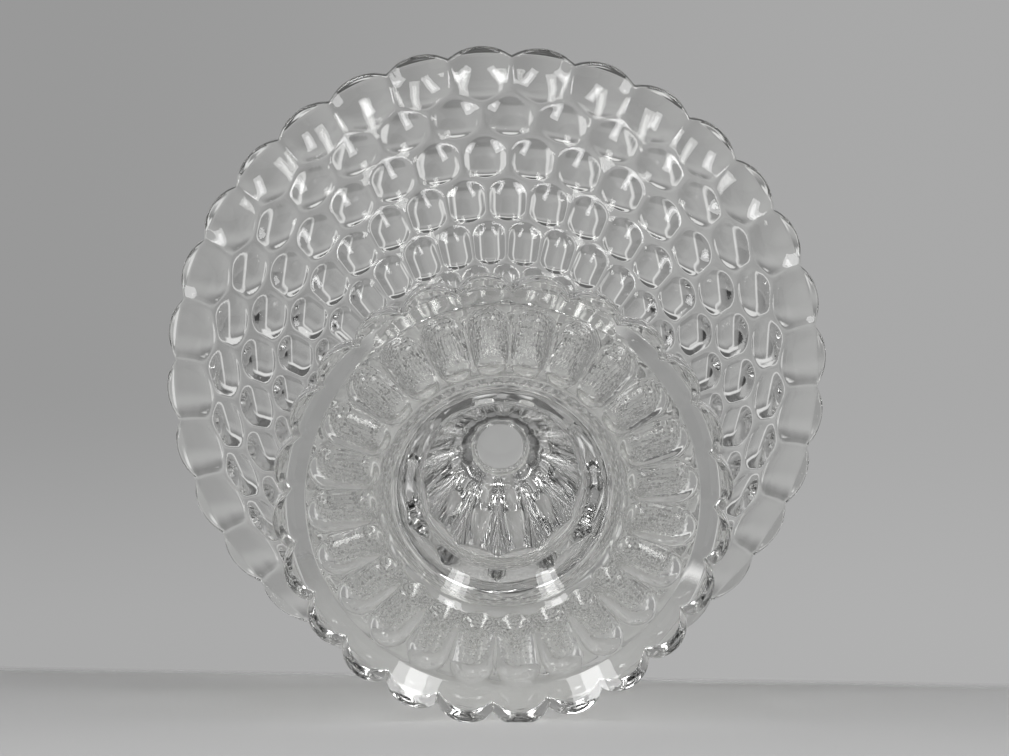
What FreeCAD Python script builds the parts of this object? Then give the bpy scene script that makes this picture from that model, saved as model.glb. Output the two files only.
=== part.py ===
import FreeCAD, Part
import math, os

# A pressed-glass bowl on a hollow pedestal foot. Three pieces of glass, fused at two flat joints:
# the pedestal (foot and stem), the joining wafer and the bowl.
# Frame: origin in the middle of the standing rim, +Z up, millimetres and degrees.

# --- Bowl ---
rim_diameter = 240.0          # across the tips of the rim lobes
overall_height = 189.8        # standing rim to the top of the lip, a round ring inside the lobes
bowl_wall = 6.0               # wall, floor and lip
base_reach = 30.4             # radius where the line of the side would meet the flat base
base_bend = 28.0              # outside radius of the bend from base to side
lip_slope = 12.0              # rise of the lip above the horizontal
lip_width = 12.0              # length of the lip from its bend's corner to the edge
lip_bend = 32.0               # outside radius of the bend from side to lip
lip_rounding = 0.9            # rounding of the lower edge of the lip
lip_trim = 0.8                # what the lobes' outline takes off the round lip, at their tips
bevel_width = 3.3             # tip of a lobe to that ring, where the bevel on top begins
bevel_slope = 26.0            # fall of the bevel below the horizontal
rim_lobes = 32                # lobes on the rim, and thumbprints in each row
rim_notch = 3.2               # how far the notch between two lobes cuts in
rim_cell_length = 16.0        # cell under each lobe, from the lip inwards
rim_cell_depth = 1.8          # how deep the cell is pressed
rim_cell_inset = 2.6          # edge of the lip to the end of its cell
row_count = 6                 # rows of thumbprints below the rim cells
row_pitch = 19.4              # from one row to the next, down the side
row_land = 0.9                # plain glass left between two thumbprints
print_depth = 2.6             # how deep a thumbprint is pressed

# --- Joining wafer ---
wafer_radius = 17.5           # outside radius
wafer_thickness = 3.0         # between stem and bowl
wafer_rounding = 1.3          # rounding of its two edges

# --- Pedestal ---
foot_diameter = 152.0         # across the tips of the foot lobes
foot_lobes = 24               # lobes on the foot, one long thumbprint in each
foot_notch = 4.0              # how far the notch between two lobes cuts in
foot_trim = 0.4               # what the lobes' outline takes off the round foot, at their tips
skirt_width = 11.0            # tip of a lobe to the sharp circle on the underside
skirt_height = 7.2            # standing rim to that circle
skirt_edge = 2.4              # width of the standing rim, measured at a tip
skirt_rounding = 0.8          # rounding of the same circle
edge_height = 9.0             # upright side of a lobe
edge_rounding = 1.0           # rounding of the standing rim
plate_thickness = 4.2         # glass between the underside and the top of the foot
plate_rise = 1.0              # how much higher the middle of the foot's plate is
shoulder_width = 2.0          # tip of a lobe to where the top of the foot turns down
shoulder_rounding = 1.5       # rounding of that turn
well_radius = 41.0            # edge of the round well in the underside
well_rise = 4.8               # height of the step at that edge
well_width = 4.0              # width of the same step
well_rounding = 2.0           # rounding of both bends of the step
neck_foot_radius = 37.5       # where the line of the neck would meet the foot
neck_radius = 32.0            # ledge that the twelve-sided stem stands on
neck_height = 36.6            # standing rim to the same ledge
neck_flare = 10.0             # rounding between neck and foot
neck_wall = 4.6               # glass between neck and hollow
throat_radius = 28.0          # where the hollow widens towards the well
throat_height = 21.6          # standing rim to that place
throat_bend = 12.0            # rounding there
stem_sides = 12               # flutes round the stem
flute_radius = 13.0           # how round each flute is hollowed, at the ledge
stem_foot_radius = 31.4       # to the ribs between the flutes, at the ledge
stem_top_radius = 15.8        # to the ribs, at the wafer
stem_waist = 0.8              # how far the ribs bow in from straight
stem_height = 83.0            # standing rim to the joint with the wafer
hollow_bend = 30.0            # rounding between the hollow's cone and its lower part
hollow_end_radius = 7.8       # flat end of the hollow
hollow_end_rounding = 0.6     # rounding of that end
hollow_web = 6.0              # glass left above the hollow
oval_width = 13.4             # long thumbprints on the foot, across
oval_length = 22.6            # and from the middle of the foot outwards
oval_depth = 2.2              # how deep they are pressed

# --- Cutting shapes ---
cut_clearance = 1.0           # how far a cutting shape stands out of the glass
print_height = 4.0            # height of a thumbprint's cutting shape, in depths of the print
arc_share = 0.48              # the most of a straight run that the arc at one end may take

# --- Worked out from the sizes above ---
rim_radius = rim_diameter / 2
foot_radius = foot_diameter / 2
ring_radius = rim_radius - bevel_width
bowl_base = stem_height + wafer_thickness
lobe_step = 360.0 / rim_lobes
foot_step = 360.0 / foot_lobes
flute_step = 360.0 / stem_sides


def corner(radius, height, rounding=0.0):
    """One corner of a profile: distance from the axis, height, and the arc that rounds it."""
    return (FreeCAD.Vector(radius, 0, height), rounding)


def rounded_path(corners):
    """Edges along the corners, with a tangent arc at each corner that has a rounding."""
    edges = []
    start = corners[0][0]
    for before, here, after in zip(corners, corners[1:], corners[2:]):
        point, rounding = here
        back = before[0] - point
        ahead = after[0] - point
        turn = math.pi - back.getAngle(ahead)
        reach = rounding * math.tan(turn / 2)
        reach = min(reach, arc_share * back.Length, arc_share * ahead.Length)
        if reach < 0.01:
            edges.append(Part.makeLine(start, point))
            start = point
            continue
        back.normalize()
        ahead.normalize()
        radius = reach / math.tan(turn / 2)
        arc_start = point + back * reach
        arc_end = point + ahead * reach
        inward = (back + ahead).normalize()
        arc_middle = point + inward * (radius / math.cos(turn / 2) - radius)
        edges.append(Part.makeLine(start, arc_start))
        edges.append(Part.Arc(arc_start, arc_middle, arc_end).toShape())
        start = arc_end
    edges.append(Part.makeLine(start, corners[-1][0]))
    return edges


def closed_face(corners):
    """A flat face inside the rounded path, closed by a straight line from its end to its start."""
    edges = rounded_path(corners)
    edges.append(Part.makeLine(corners[-1][0], corners[0][0]))
    return Part.Face(Part.Wire(edges))


def turned(corners):
    """The profile turned once round the axis. Its ends lie on the axis."""
    return closed_face(corners).revolve(FreeCAD.Vector(0, 0, 0), FreeCAD.Vector(0, 0, 1), 360)


def inside_of(corners, wall):
    """The same path one wall further in (to the left of its direction), last corner first."""
    shifted = []
    directions = [(b[0] - a[0]).normalize() for a, b in zip(corners, corners[1:])]
    for place, (point, rounding) in enumerate(corners):
        before = directions[max(place - 1, 0)]
        after = directions[min(place, len(directions) - 1)]
        left_before = FreeCAD.Vector(-before.z, 0, before.x)
        left_after = FreeCAD.Vector(-after.z, 0, after.x)
        middle = (left_before + left_after).normalize()
        moved = point + middle * (wall / middle.dot(left_before))
        bends_left = before.x * after.z - before.z * after.x > 0
        inner_rounding = rounding - wall if bends_left else rounding + wall
        shifted.append((moved, max(inner_rounding, 0.0) if rounding else 0.0))
    return list(reversed(shifted))


def lobed_prism(tip_radius, notch, lobes, height):
    """An upright block whose outline is one arc for each lobe, with a sharp notch between two."""
    half_step = math.pi / lobes
    notch_radius = tip_radius - notch
    arcs = []
    for lobe in range(lobes):
        middle = 2 * half_step * (lobe + 0.5)
        points = []
        for angle, radius in ((middle - half_step, notch_radius), (middle, tip_radius),
                              (middle + half_step, notch_radius)):
            points.append(FreeCAD.Vector(radius * math.cos(angle), radius * math.sin(angle), 0))
        arcs.append(Part.Arc(*points).toShape())
    return Part.Face(Part.Wire(arcs)).extrude(FreeCAD.Vector(0, 0, height))


def print_tool(width, length, depth):
    """The tool for a round-ended hollow of this width, length and depth in a wall.

    It is part of a round bar with ball ends. The wall is the plane X = 0 with its glass at -X, the
    width runs along Y and the length along Z. The bar reaches -depth into the glass.
    """
    short = min(width, length)
    straight = abs(length - width)
    radius = (short * short / 4 + depth * depth) / (2 * depth)
    low_end = FreeCAD.Vector(0, 0, -straight / 2)
    tool = Part.makeSphere(radius, low_end)
    if straight > 0:
        bar = Part.makeCylinder(radius, straight, low_end)
        tool = bar.fuse([tool, Part.makeSphere(radius, -low_end)])
    if width > length:
        tool.rotate(FreeCAD.Vector(0, 0, 0), FreeCAD.Vector(1, 0, 0), 90)
    tool.translate(FreeCAD.Vector(radius - depth, 0, 0))
    reach = radius + straight
    block_corner = FreeCAD.Vector(-depth, -reach, -reach)
    block = Part.makeBox(print_height * depth, 2 * reach, 2 * reach, block_corner)
    return tool.common(block)


def placed_print(tool, radius, height, slope, angle):
    """The tool set on a wall: slope is the wall's rise going outwards, angle the way round."""
    copy = tool.copy()
    copy.rotate(FreeCAD.Vector(0, 0, 0), FreeCAD.Vector(0, 1, 0), 90 - slope)
    copy.translate(FreeCAD.Vector(radius, 0, height))
    copy.rotate(FreeCAD.Vector(0, 0, 0), FreeCAD.Vector(0, 0, 1), angle)
    return copy


def pressed(shape, tools):
    """The shape with the tools cut from it, every second one first, so that no two tools touch."""
    return shape.cut(tools[0::2]).cut(tools[1::2])


def bowl_path():
    """Corners of the bowl's outside, from the axis out to the lip."""
    slope = math.radians(lip_slope)
    lip_radius = rim_radius + lip_trim
    lip_height = overall_height + (lip_radius - ring_radius) * math.tan(slope) - bowl_wall / math.cos(slope)
    bend_radius = lip_radius - lip_width * math.cos(slope)
    bend_height = lip_height - lip_width * math.sin(slope)
    return [corner(0, bowl_base), corner(base_reach, bowl_base, base_bend),
            corner(bend_radius, bend_height, lip_bend), corner(lip_radius, lip_height)]


def point_on(edges, distance):
    """Point and direction at a distance along the edges of a path."""
    for edge in edges:
        if distance <= edge.Length:
            parameter = edge.getParameterByLength(distance)
            return edge.valueAt(parameter), edge.tangentAt(parameter)
        distance -= edge.Length
    return edges[-1].valueAt(edges[-1].LastParameter), edges[-1].tangentAt(edges[-1].LastParameter)


def rim_bevel():
    """Cutter for the bevel on top of the lip. It leaves the round ring inside the lobes."""
    far_radius = rim_radius + bowl_wall
    far_height = overall_height - (far_radius - ring_radius) * math.tan(math.radians(bevel_slope))
    above = overall_height + bowl_wall
    section = closed_face([corner(ring_radius, overall_height), corner(far_radius, far_height),
                           corner(far_radius, above), corner(ring_radius, above)])
    return section.revolve(FreeCAD.Vector(0, 0, 0), FreeCAD.Vector(0, 0, 1), 360)


def make_bowl():
    """Bowl: a turned wall, cut to its lobes, with its rim cells and rows of thumbprints."""
    outside = bowl_path()
    inside = inside_of(outside, bowl_wall)
    lip_low = (outside[-1][0], lip_rounding)
    wall = turned(outside[:-1] + [lip_low] + inside)
    lobes = lobed_prism(rim_radius, rim_notch, rim_lobes, overall_height + bowl_wall)
    bowl = wall.cut(rim_bevel()).common(lobes)
    edges = rounded_path(outside)
    full = sum(edge.Length for edge in edges)
    for row in range(row_count + 1):
        if row == 0:
            length = rim_cell_length
            depth = rim_cell_depth
            from_lip = rim_cell_inset + rim_cell_length / 2
        else:
            length = row_pitch
            depth = print_depth
            from_lip = rim_cell_inset + rim_cell_length + (row - 0.5) * row_pitch
        point, along = point_on(edges, full - from_lip)
        step_width = 2 * point.x * math.tan(math.radians(lobe_step / 2))
        tool = print_tool(step_width - row_land, length, depth)
        slope = math.degrees(math.atan2(along.z, along.x))
        shift = 0.5 if row % 2 == 0 else 0.0
        tools = []
        for lobe in range(rim_lobes):
            angle = (lobe + shift) * lobe_step
            tools.append(placed_print(tool, point.x, point.z, slope, angle))
        bowl = pressed(bowl, tools)
    return bowl


def make_wafer():
    """Joining wafer: a flat disc with rounded edges between stem and bowl."""
    return turned([corner(0, stem_height), corner(wafer_radius, stem_height, wafer_rounding),
                   corner(wafer_radius, bowl_base, wafer_rounding), corner(0, bowl_base)])


def make_stem():
    """The stem above the ledge: a round blank with flutes all round it, each cut by a round spool.

    The spools' axes stand in a ring round the stem. At each height a spool's radius is the distance
    from its axis to the rib, so that two flutes meet in the rib and nothing of the blank's side is left.
    """
    middle_radius = (stem_foot_radius + stem_top_radius) / 2 - stem_waist
    middle_height = (neck_height + stem_height) / 2
    bow = stem_height - neck_height
    half_step = math.radians(flute_step / 2)
    half_flute = stem_foot_radius * math.sin(half_step)
    axis_radius = stem_foot_radius * math.cos(half_step) + math.sqrt(flute_radius ** 2 - half_flute ** 2)

    def flute_bottom(rib_radius):
        """Distance from the stem's axis to the bottom of a flute, where the ribs are this far out."""
        outward = axis_radius - rib_radius * math.cos(half_step)
        return axis_radius - math.hypot(outward, rib_radius * math.sin(half_step))

    bottom = FreeCAD.Vector(0, 0, neck_height)
    stem = Part.makeCylinder(stem_foot_radius + cut_clearance, stem_height - neck_height, bottom)
    spool = closed_face([corner(axis_radius, stem_height),
                         corner(flute_bottom(stem_top_radius), stem_height),
                         corner(flute_bottom(middle_radius), middle_height, bow),
                         corner(flute_bottom(stem_foot_radius), neck_height),
                         corner(axis_radius, neck_height)])
    spool = spool.revolve(FreeCAD.Vector(axis_radius, 0, 0), FreeCAD.Vector(0, 0, 1), 360)
    flutes = []
    for side in range(stem_sides):
        cutter = spool.copy()
        cutter.rotate(FreeCAD.Vector(0, 0, 0), FreeCAD.Vector(0, 0, 1), side * flute_step)
        flutes.append(cutter)
    return pressed(stem, flutes)


def make_pedestal():
    """Pedestal: lobed foot, neck and stem, with the hollow that runs up inside them."""
    plate_edge = foot_radius - skirt_width
    plate_top = skirt_height + plate_thickness
    plate_middle = plate_top + plate_rise
    shoulder = foot_radius - shoulder_width
    round_radius = foot_radius + foot_trim
    outside = [corner(0, 0), corner(round_radius, 0, edge_rounding),
               corner(round_radius, edge_height, edge_rounding),
               corner(shoulder, plate_top, shoulder_rounding),
               corner(neck_foot_radius, plate_middle, neck_flare),
               corner(neck_radius, neck_height), corner(0, neck_height)]
    foot = turned(outside).common(lobed_prism(foot_radius, foot_notch, foot_lobes, neck_height))
    body = foot.fuse(make_stem()).removeSplitter()
    hollow_top = stem_height - hollow_web
    well_top = skirt_height + plate_rise + well_rise
    rim_inside = foot_radius - skirt_edge
    hollow = turned([corner(0, -cut_clearance), corner(rim_inside, -cut_clearance),
                     corner(rim_inside, 0), corner(plate_edge, skirt_height, skirt_rounding),
                     corner(well_radius, skirt_height + plate_rise, well_rounding),
                     corner(well_radius - well_width, well_top, well_rounding),
                     corner(throat_radius, throat_height, throat_bend),
                     corner(neck_radius - neck_wall, neck_height - neck_wall, hollow_bend),
                     corner(hollow_end_radius, hollow_top, hollow_end_rounding),
                     corner(0, hollow_top)])
    tool = print_tool(oval_width, oval_length, oval_depth)
    oval_radius = (plate_edge + well_radius) / 2
    oval_height = plate_top + plate_rise * (shoulder - oval_radius) / (shoulder - neck_foot_radius)
    slope = math.degrees(math.atan2(plate_rise, neck_foot_radius - shoulder))
    ovals = []
    for lobe in range(foot_lobes):
        angle = (lobe + 0.5) * foot_step
        ovals.append(placed_print(tool, oval_radius, oval_height, slope, angle))
    return pressed(body.cut(hollow), ovals)


def write_part(name, shape):
    """Keep the piece as one solid in its own STEP file."""
    solid = shape.Solids[0]
    solid.exportStep("parts/" + name + ".step")
    print(name, "valid", solid.isValid(), "solids", len(shape.Solids), "volume", round(solid.Volume))
    print("  box", solid.BoundBox)


os.makedirs("parts", exist_ok=True)
write_part("pedestal", make_pedestal())
write_part("joining_wafer", make_wafer())
write_part("bowl", make_bowl())
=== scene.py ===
"""A pressed-glass bowl on a hollow pedestal foot, lying on its side on a grey table.

The three pieces of glass are surfaces turned round the Z axis. A profile gives radius and height, and
the pressed pattern (lobes, thumbprints, flutes) moves the points of each ring. Metres throughout.
"""

import math

import bpy
import numpy as np
from mathutils import Matrix, Vector


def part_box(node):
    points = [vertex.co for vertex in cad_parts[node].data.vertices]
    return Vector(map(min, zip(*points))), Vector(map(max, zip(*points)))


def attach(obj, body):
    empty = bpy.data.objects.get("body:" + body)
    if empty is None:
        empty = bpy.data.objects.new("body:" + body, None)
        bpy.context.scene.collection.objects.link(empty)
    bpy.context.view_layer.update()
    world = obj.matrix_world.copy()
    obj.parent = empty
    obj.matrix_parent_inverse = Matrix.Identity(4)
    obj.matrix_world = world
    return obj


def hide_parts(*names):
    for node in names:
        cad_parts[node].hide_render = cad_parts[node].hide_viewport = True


bl_info = {
    "name": "Footed Glass Bowl",
    "version": (1, 0, 0),
    "blender": (4, 5, 0),
    "location": "View3D > Sidebar > Glass Bowl",
    "description": "Builds a footed pressed-glass bowl, its table and its lights",
    "category": "Add Mesh",
}

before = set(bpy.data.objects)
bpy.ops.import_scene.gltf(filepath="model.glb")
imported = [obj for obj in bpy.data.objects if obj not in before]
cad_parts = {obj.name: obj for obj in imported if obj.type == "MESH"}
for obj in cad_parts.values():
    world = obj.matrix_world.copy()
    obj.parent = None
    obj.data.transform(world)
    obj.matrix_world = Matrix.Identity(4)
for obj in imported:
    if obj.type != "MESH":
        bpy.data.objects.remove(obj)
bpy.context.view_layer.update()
STEM_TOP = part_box("pedestal")[1].z
BOWL_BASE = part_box("bowl")[0].z
TAU = 2 * math.pi
MM = 0.001
ARC_SHARE = 0.48        # the most of a straight run that the arc at one end may take
ARC_STEP = math.radians(12)     # the most that an arc turns from one of its points to the next
STRAIGHT = 0.001        # a corner that turns by less than this angle needs no arc
JOINT_SLOT = 1          # material slot of the faces where two pieces are fused

# Meshes: the points in each ring, and the distance from ring to ring
BOWL_PLACES = 512
PEDESTAL_PLACES = 480
SMOOTH_STEP = 3.0 * MM          # smooth faces
PRESSED_STEP = 0.93 * MM        # the outside of the bowl
FOOT_STEP = 0.62 * MM           # the top of the foot
STEM_STEP = 1.6 * MM
WAFER_STEP = 0.5 * MM
RING_GAP = 0.3 * MM             # left free between two sets of rings
CREASE_GAP = 0.08 * MM          # a crease to the ring on each side of it
JOINT_RINGS = np.array([[0.33], [0.66], [1.0]])     # rings across a flat joint, as shares of its radius

# Surface of the glass: waves, grains and pebbles per metre
WAVES = 90.0
GRAINS = 900.0
PEBBLES = 1000.0
GRAIN_HEIGHT = 0.06             # as a share of the height of the waves
RELIEF = 1.0 * MM               # height of the waves before the ripple's strength
PEBBLE_EDGE = (0.95, 0.70)      # shares of an oval where its pebbles begin and are full

# Bands of the backdrop, in metres: where each begins and where it is full. The backdrop glows, and these
# bands are painted light and painted shade on it
# Painted light: the backdrop grows lighter to the right
RIGHT_LIGHT_BAND = (-0.33, 0.33)      # from the middle to the right
# Painted light: a glowing white strip beside the backdrop on each side
SIDE_LIGHT_STRIP = (0.50, 0.56)       # from the middle to each side
SIDE_END = (0.60, 0.72)
# Painted light: the backdrop grows lighter towards the table
LOW_LIGHT_BAND = (-0.12, 0.08)        # from the table's level down
# Painted shadow at the foot of the backdrop, below the table's level
GAP_SHADOW_BAND = (0.11, 0.35)
# Painted light: a glowing white strip under the backdrop
LOW_LIGHT_STRIP = (0.32, 0.38)
# Painted shade: a dark band at the low end of the backdrop
LOW_SHADE_END = (0.44, 0.52)
# Painted shade: a darker band over the backdrop
HIGH_SHADE_BAND = (0.74, 0.84)        # from the table's level up
HIGH_END = (0.95, 1.05)
# Covers of the painted light towards the table, of the painted white strips and of the painted shade over
# the backdrop
LOW_LIGHT_COVER, LIGHT_STRIP_COVER, HIGH_SHADE_COVER = 0.55, 0.8, 0.35    # what three of them cover of what lies under

# Caps of the room: the cosines of the angles off their middles where they begin and are full
CEILING_CAP = (0.25, 0.45)
FLOOR_CAP = (0.45, 0.60)
BELOW_CAP = (0.80, 0.92)
HIGH_CAP = (0.91, 0.94)
SIDE_CAP = (0.93, 0.95)


def size(name, description, millimetres):
    """A length in metres, given in millimetres."""
    return bpy.props.FloatProperty(name=name, description=description, default=millimetres * MM,
                                   min=0.0, precision=5, subtype="DISTANCE", unit="LENGTH")


def angle(name, description, degrees):
    """An angle in radians, given in degrees."""
    return bpy.props.FloatProperty(name=name, description=description, default=math.radians(degrees),
                                   subtype="ANGLE", unit="ROTATION")


def share(name, description, number):
    return bpy.props.FloatProperty(name=name, description=description, default=number,
                                   min=0.0, max=1.0, subtype="FACTOR")


def count(name, description, number):
    return bpy.props.IntProperty(name=name, description=description, default=number, min=3)


class BowlSizes(bpy.types.PropertyGroup):
    """Sizes of the bowl."""
    wall: size("Wall", "Thickness of wall, floor and lip", 6.0)
    rim_radius: size("Rim radius", "From the axis to the tips of the rim lobes", 120.0)
    height: size("Height", "Standing rim to the top of the lip, a round ring inside the lobes", 189.8)
    base_reach: size("Base reach", "Radius where the side's line would meet the flat base", 30.4)
    base_bend: size("Base bend", "Outside radius of the bend from base to side", 28.0)
    lip_width: size("Lip width", "Length of the lip from its bend's corner to the edge", 12.0)
    lip_bend: size("Lip bend", "Outside radius of the bend from side to lip", 32.0)
    lip_rise: angle("Lip rise", "Rise of the lip above the horizontal", 12.0)
    lip_overhang: size("Lip overhang", "What the round lip would reach beyond the lobes", 0.8)
    bevel_width: size("Bevel width", "Tip of a lobe to the ring where the bevel on top begins", 3.3)
    bevel_fall: angle("Bevel fall", "Fall of the bevel below the horizontal", 26.0)
    lobe_rounding: size("Lobe rounding", "Rounding of the upright side of a lobe", 0.9)
    notch: size("Notch", "How far the notch between two lobes cuts in", 3.2)
    cell_length: size("Rim cell length", "Cell under each lobe, from the lip inwards", 16.0)
    cell_depth: size("Rim cell depth", "How deep the cell is pressed", 2.6)
    cell_inset: size("Rim cell inset", "Edge of the lip to where a cell's length begins", 2.6)
    cell_nesting: size("Rim cell nesting", "How far a cell reaches in between the next row's prints", 3.4)
    row_pitch: size("Row pitch", "From one row of thumbprints to the next", 19.4)
    land: size("Land", "Plain glass left between two thumbprints", 0.9)
    print_depth: size("Print depth", "How deep a thumbprint is pressed", 2.6)
    polish: size("Fire polish", "How far the edges of a thumbprint are melted away", 0.24)
    lobes: count("Lobes", "Lobes on the rim, and thumbprints in each row", 32)
    rows: count("Rows", "Rows of thumbprints below the rim cells", 6)


class PedestalSizes(bpy.types.PropertyGroup):
    """Sizes of the foot, the stem and the hollow inside them."""
    foot_radius: size("Foot radius", "From the axis to the tips of the foot lobes", 76.0)
    notch: size("Notch", "How far the notch between two lobes cuts in", 4.0)
    lobe_rounding: size("Lobe rounding", "Rounding of the upright side of a lobe", 0.5)
    foot_trim: size("Foot trim", "What the lobes' outline takes off the round foot, at their tips", 0.4)
    skirt_width: size("Skirt width", "Tip of a lobe to the sharp circle on the underside", 11.0)
    skirt_height: size("Skirt height", "Standing rim to that circle", 7.2)
    skirt_edge: size("Skirt edge", "Width of the standing rim, measured at a tip", 2.4)
    skirt_rounding: size("Skirt rounding", "Rounding of the same circle", 0.8)
    edge_height: size("Edge height", "Upright side of a lobe", 9.0)
    edge_rounding: size("Edge rounding", "Rounding of the standing rim", 1.0)
    plate: size("Plate", "Glass between the underside and the top of the foot", 4.2)
    plate_rise: size("Plate rise", "How much higher the middle of the foot's plate is", 1.0)
    shoulder_width: size("Shoulder width", "Tip of a lobe to where the foot's top turns down", 2.0)
    shoulder_rounding: size("Shoulder rounding", "Rounding of that turn", 1.5)
    well_radius: size("Well radius", "Edge of the round well in the underside", 41.0)
    well_rise: size("Well rise", "Height of the step at that edge", 4.8)
    well_width: size("Well width", "Width of the same step", 4.0)
    well_rounding: size("Well rounding", "Rounding of both bends of the step", 2.0)
    neck_foot: size("Neck foot", "Radius where the neck's line would meet the foot", 37.5)
    neck_radius: size("Neck radius", "Ledge that the twelve-sided stem stands on", 32.0)
    neck_height: size("Neck height", "Standing rim to the same ledge", 36.6)
    neck_flare: size("Neck flare", "Rounding between neck and foot", 10.0)
    ledge_rounding: size("Ledge rounding", "Rounding of the ledge's edge", 0.7)
    neck_wall: size("Neck wall", "Glass between neck and hollow", 4.6)
    throat_radius: size("Throat radius", "Where the hollow widens towards the well", 28.0)
    throat_height: size("Throat height", "Standing rim to that place", 21.6)
    throat_bend: size("Throat bend", "Rounding there", 12.0)
    flute_radius: size("Flute radius", "How round each flute is hollowed, at the ledge", 13.0)
    stem_foot: size("Stem foot", "Axis to the ribs between the flutes, at the ledge", 31.4)
    stem_top: size("Stem top", "Axis to the ribs, at the wafer", 15.8)
    stem_waist: size("Stem waist", "How far the ribs bow in from straight", 0.8)
    hollow_bend: size("Hollow bend", "Rounding between the cone of the hollow and its lower part", 30.0)
    hollow_end: size("Hollow end", "Radius of the flat end of the hollow", 7.8)
    hollow_end_rounding: size("Hollow end rounding", "Rounding of that end", 0.6)
    hollow_web: size("Hollow web", "Glass left above the hollow", 6.0)
    oval_width: size("Oval width", "Long thumbprints on the foot, across", 13.4)
    oval_length: size("Oval length", "The same, from the middle of the foot outwards", 22.6)
    oval_depth: size("Oval depth", "How deep they are pressed", 2.2)
    polish: size("Fire polish", "How far the edges of a thumbprint are melted away", 0.15)
    lobes: count("Lobes", "Lobes on the foot, one long thumbprint in each", 24)
    flutes: count("Flutes", "Flutes round the stem", 12)


class WaferSizes(bpy.types.PropertyGroup):
    """Sizes of the disc of glass that joins bowl and stem."""
    radius: size("Radius", "Outside radius", 17.5)
    rounding: size("Rounding", "Rounding of its two edges", 1.3)


class GlassLook(bpy.types.PropertyGroup):
    """Colour and surface of the glass."""
    tint: bpy.props.FloatVectorProperty(name="Tint", description="Light left after one surface",
                                        default=(0.982, 0.984, 0.970), size=3, subtype="COLOR",
                                        min=0.0, max=1.0)
    shade: bpy.props.FloatVectorProperty(name="Shade", description="Light that falls through it",
                                         default=(0.82, 0.82, 0.81), size=3, subtype="COLOR",
                                         min=0.0, max=1.0)
    ior: bpy.props.FloatProperty(name="Index of refraction", description="How much it bends light",
                                 default=1.52, min=1.0, max=2.0)
    stipple: bpy.props.FloatProperty(name="Stipple", description="Depth of the pebbles, in ripples",
                                     default=0.8, min=0.0)
    ripple: bpy.props.FloatProperty(name="Ripple", description="Strength of the pressed waviness",
                                    default=0.04, min=0.0, max=1.0, subtype="FACTOR")


class StageLook(bpy.types.PropertyGroup):
    """Camera, table, backdrop and lights."""
    lens: bpy.props.FloatProperty(name="Lens", description="Focal length on a 36 mm sensor",
                                  default=178.4, min=1.0, subtype="DISTANCE_CAMERA", unit="CAMERA")
    distance: size("Distance", "Camera to the foot, along the line of sight", 1637.0)
    tilt: angle("Tilt", "Axis of the bowl off the line of sight", 13.5)
    lean: angle("Lean", "Axis of the bowl leaning sideways", -0.72)
    up: angle("Up", "Direction round the bowl that is up in the picture", 132.5)
    table_grey: share("Table grey", "Grey of the table", 0.40)
    backdrop_grey: share("Backdrop grey", "The backdrop at the upper left", 0.318)
    # Painted light: the backdrop is made lighter to the right and towards the table
    backdrop_lit_right: share("Backdrop right", "The backdrop at the upper right", 0.395)
    backdrop_lit_low: share("Backdrop low", "What the backdrop lightens to at the table", 0.47)
    gap_shadow_grey: share("Gap grey", "The foot of the backdrop", 0.22)
    # Painted shadow at the foot of the backdrop
    light_strip_grey: share("Strip grey", "The white strips beside and under the backdrop", 0.80)
    # Painted light: glowing white strips that stand in for lit sides beside and under the backdrop
    side_grey: share("Side grey", "Beyond the white strips, and at the top", 0.30)
    shade_band_grey: share("Low grey", "Under the white strip, and in a band over the backdrop", 0.10)
    # Painted shade: dark bands under the white strip and over the backdrop
    dark_grey: share("Dark grey", "The dark ends of the room", 0.03)
    wall_grey: share("Wall grey", "The room at the height of the bowl", 0.42)
    ceiling_grey: share("Ceiling grey", "The room over the backdrop", 0.25)
    room_grey: share("Room grey", "The room behind the photographer and under the table", 0.04)
    table_end: size("Table end", "Rim of the bowl to the far edge of the table", 85.0)
    table_fade: size("Table fade", "How wide that edge fades out", 50.0)
    table_turn: angle("Table turn", "How far that edge is turned, nearer on the right", 17.0)
    backdrop_distance: size("Backdrop distance", "Rim of the bowl to the backdrop", 1800.0)
    softbox_angle: angle("Softbox angle", "How far to the side of the camera a softbox stands", 37.0)
    softbox_reach: size("Softbox reach", "Bowl to softbox, along the table", 870.0)
    softbox_rise: size("Softbox rise", "Bowl to softbox, upwards", 660.0)
    softbox_width: size("Softbox width", "Width of a softbox", 280.0)
    softbox_height: size("Softbox height", "Height of a softbox", 1100.0)
    core_width: size("Core width", "Width of its bright middle", 120.0)
    core_height: size("Core height", "Height of its bright middle", 700.0)
    core_share: share("Core share", "How much of the power comes from the middle", 0.35)
    softbox_power: bpy.props.FloatProperty(name="Softbox power", description="Watts", default=8.0,
                                           min=0.0, subtype="POWER", unit="POWER")


# --- Shapes ---

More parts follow.
